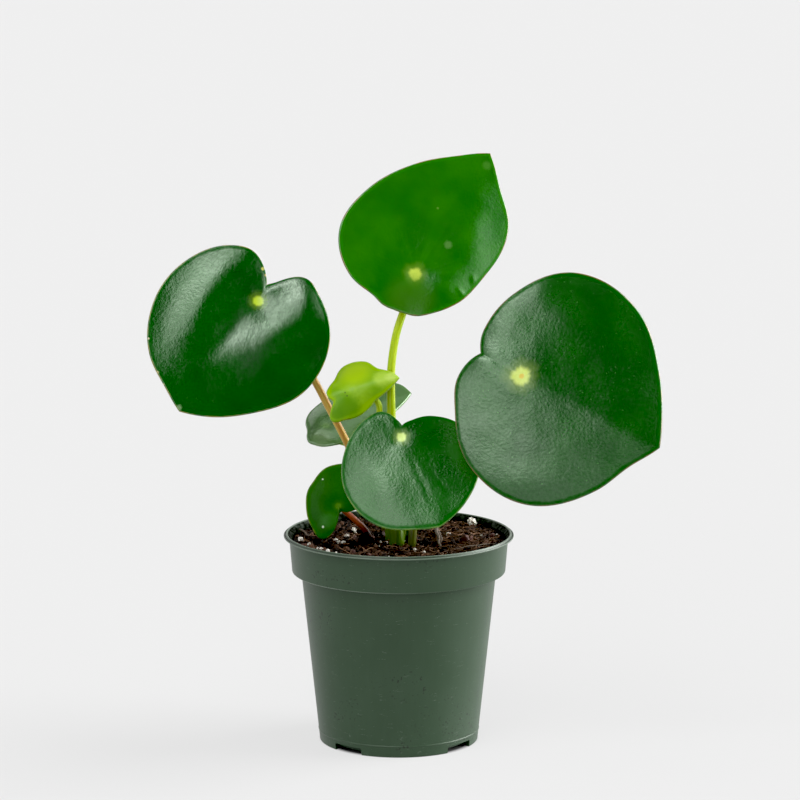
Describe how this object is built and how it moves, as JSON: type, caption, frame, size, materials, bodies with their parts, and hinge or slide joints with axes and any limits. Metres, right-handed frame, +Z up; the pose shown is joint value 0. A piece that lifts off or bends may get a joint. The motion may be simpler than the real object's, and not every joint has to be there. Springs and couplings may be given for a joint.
{
  "type": "potted peperomia",
  "caption": "Potted raindrop peperomia: glossy shield-shaped leaves on slender stems, standing in the soil of a plain green grower's pot with a collar and drain notches.",
  "frame": {"origin": "the pot's axis on the surface that it stands on", "axes": "+Z up, the front of the picture towards -Y, +X to the picture's right"},
  "size_m": [0.2235, 0.1096, 0.2592],
  "materials": {
    "pot_plastic": "semi-matte dark green moulded plastic",
    "potting_mix": "coarse dark brown potting mix with white grains",
    "leaf_dark": "dark green leaf with a broken gloss",
    "leaf_bright": "bright green leaf, lit from behind",
    "leaf_lime": "lime green young leaf",
    "leaf_grey": "grey-green leaf",
    "stem_green": "yellow-green fleshy stem",
    "stem_tan": "tan fleshy stem",
    "stem_red": "red-brown fleshy stem"
  },
  "bodies": {
    "root": {"pot": "pot_plastic", "soil": "potting_mix", "leaf_left": "leaf_dark", "leaf_right": "leaf_dark", "leaf_front": "leaf_dark", "leaf_top": "leaf_bright", "leaf_low": "leaf_bright", "leaf_young": "leaf_lime", "leaf_back": "leaf_grey", "stem_top": "stem_green", "stem_front": "stem_green", "stem_young": "stem_green", "stem_back": "stem_green", "stem_left": "stem_tan", "stem_right": "stem_tan", "stem_low": "stem_red"}
  },
  "joints": []
}
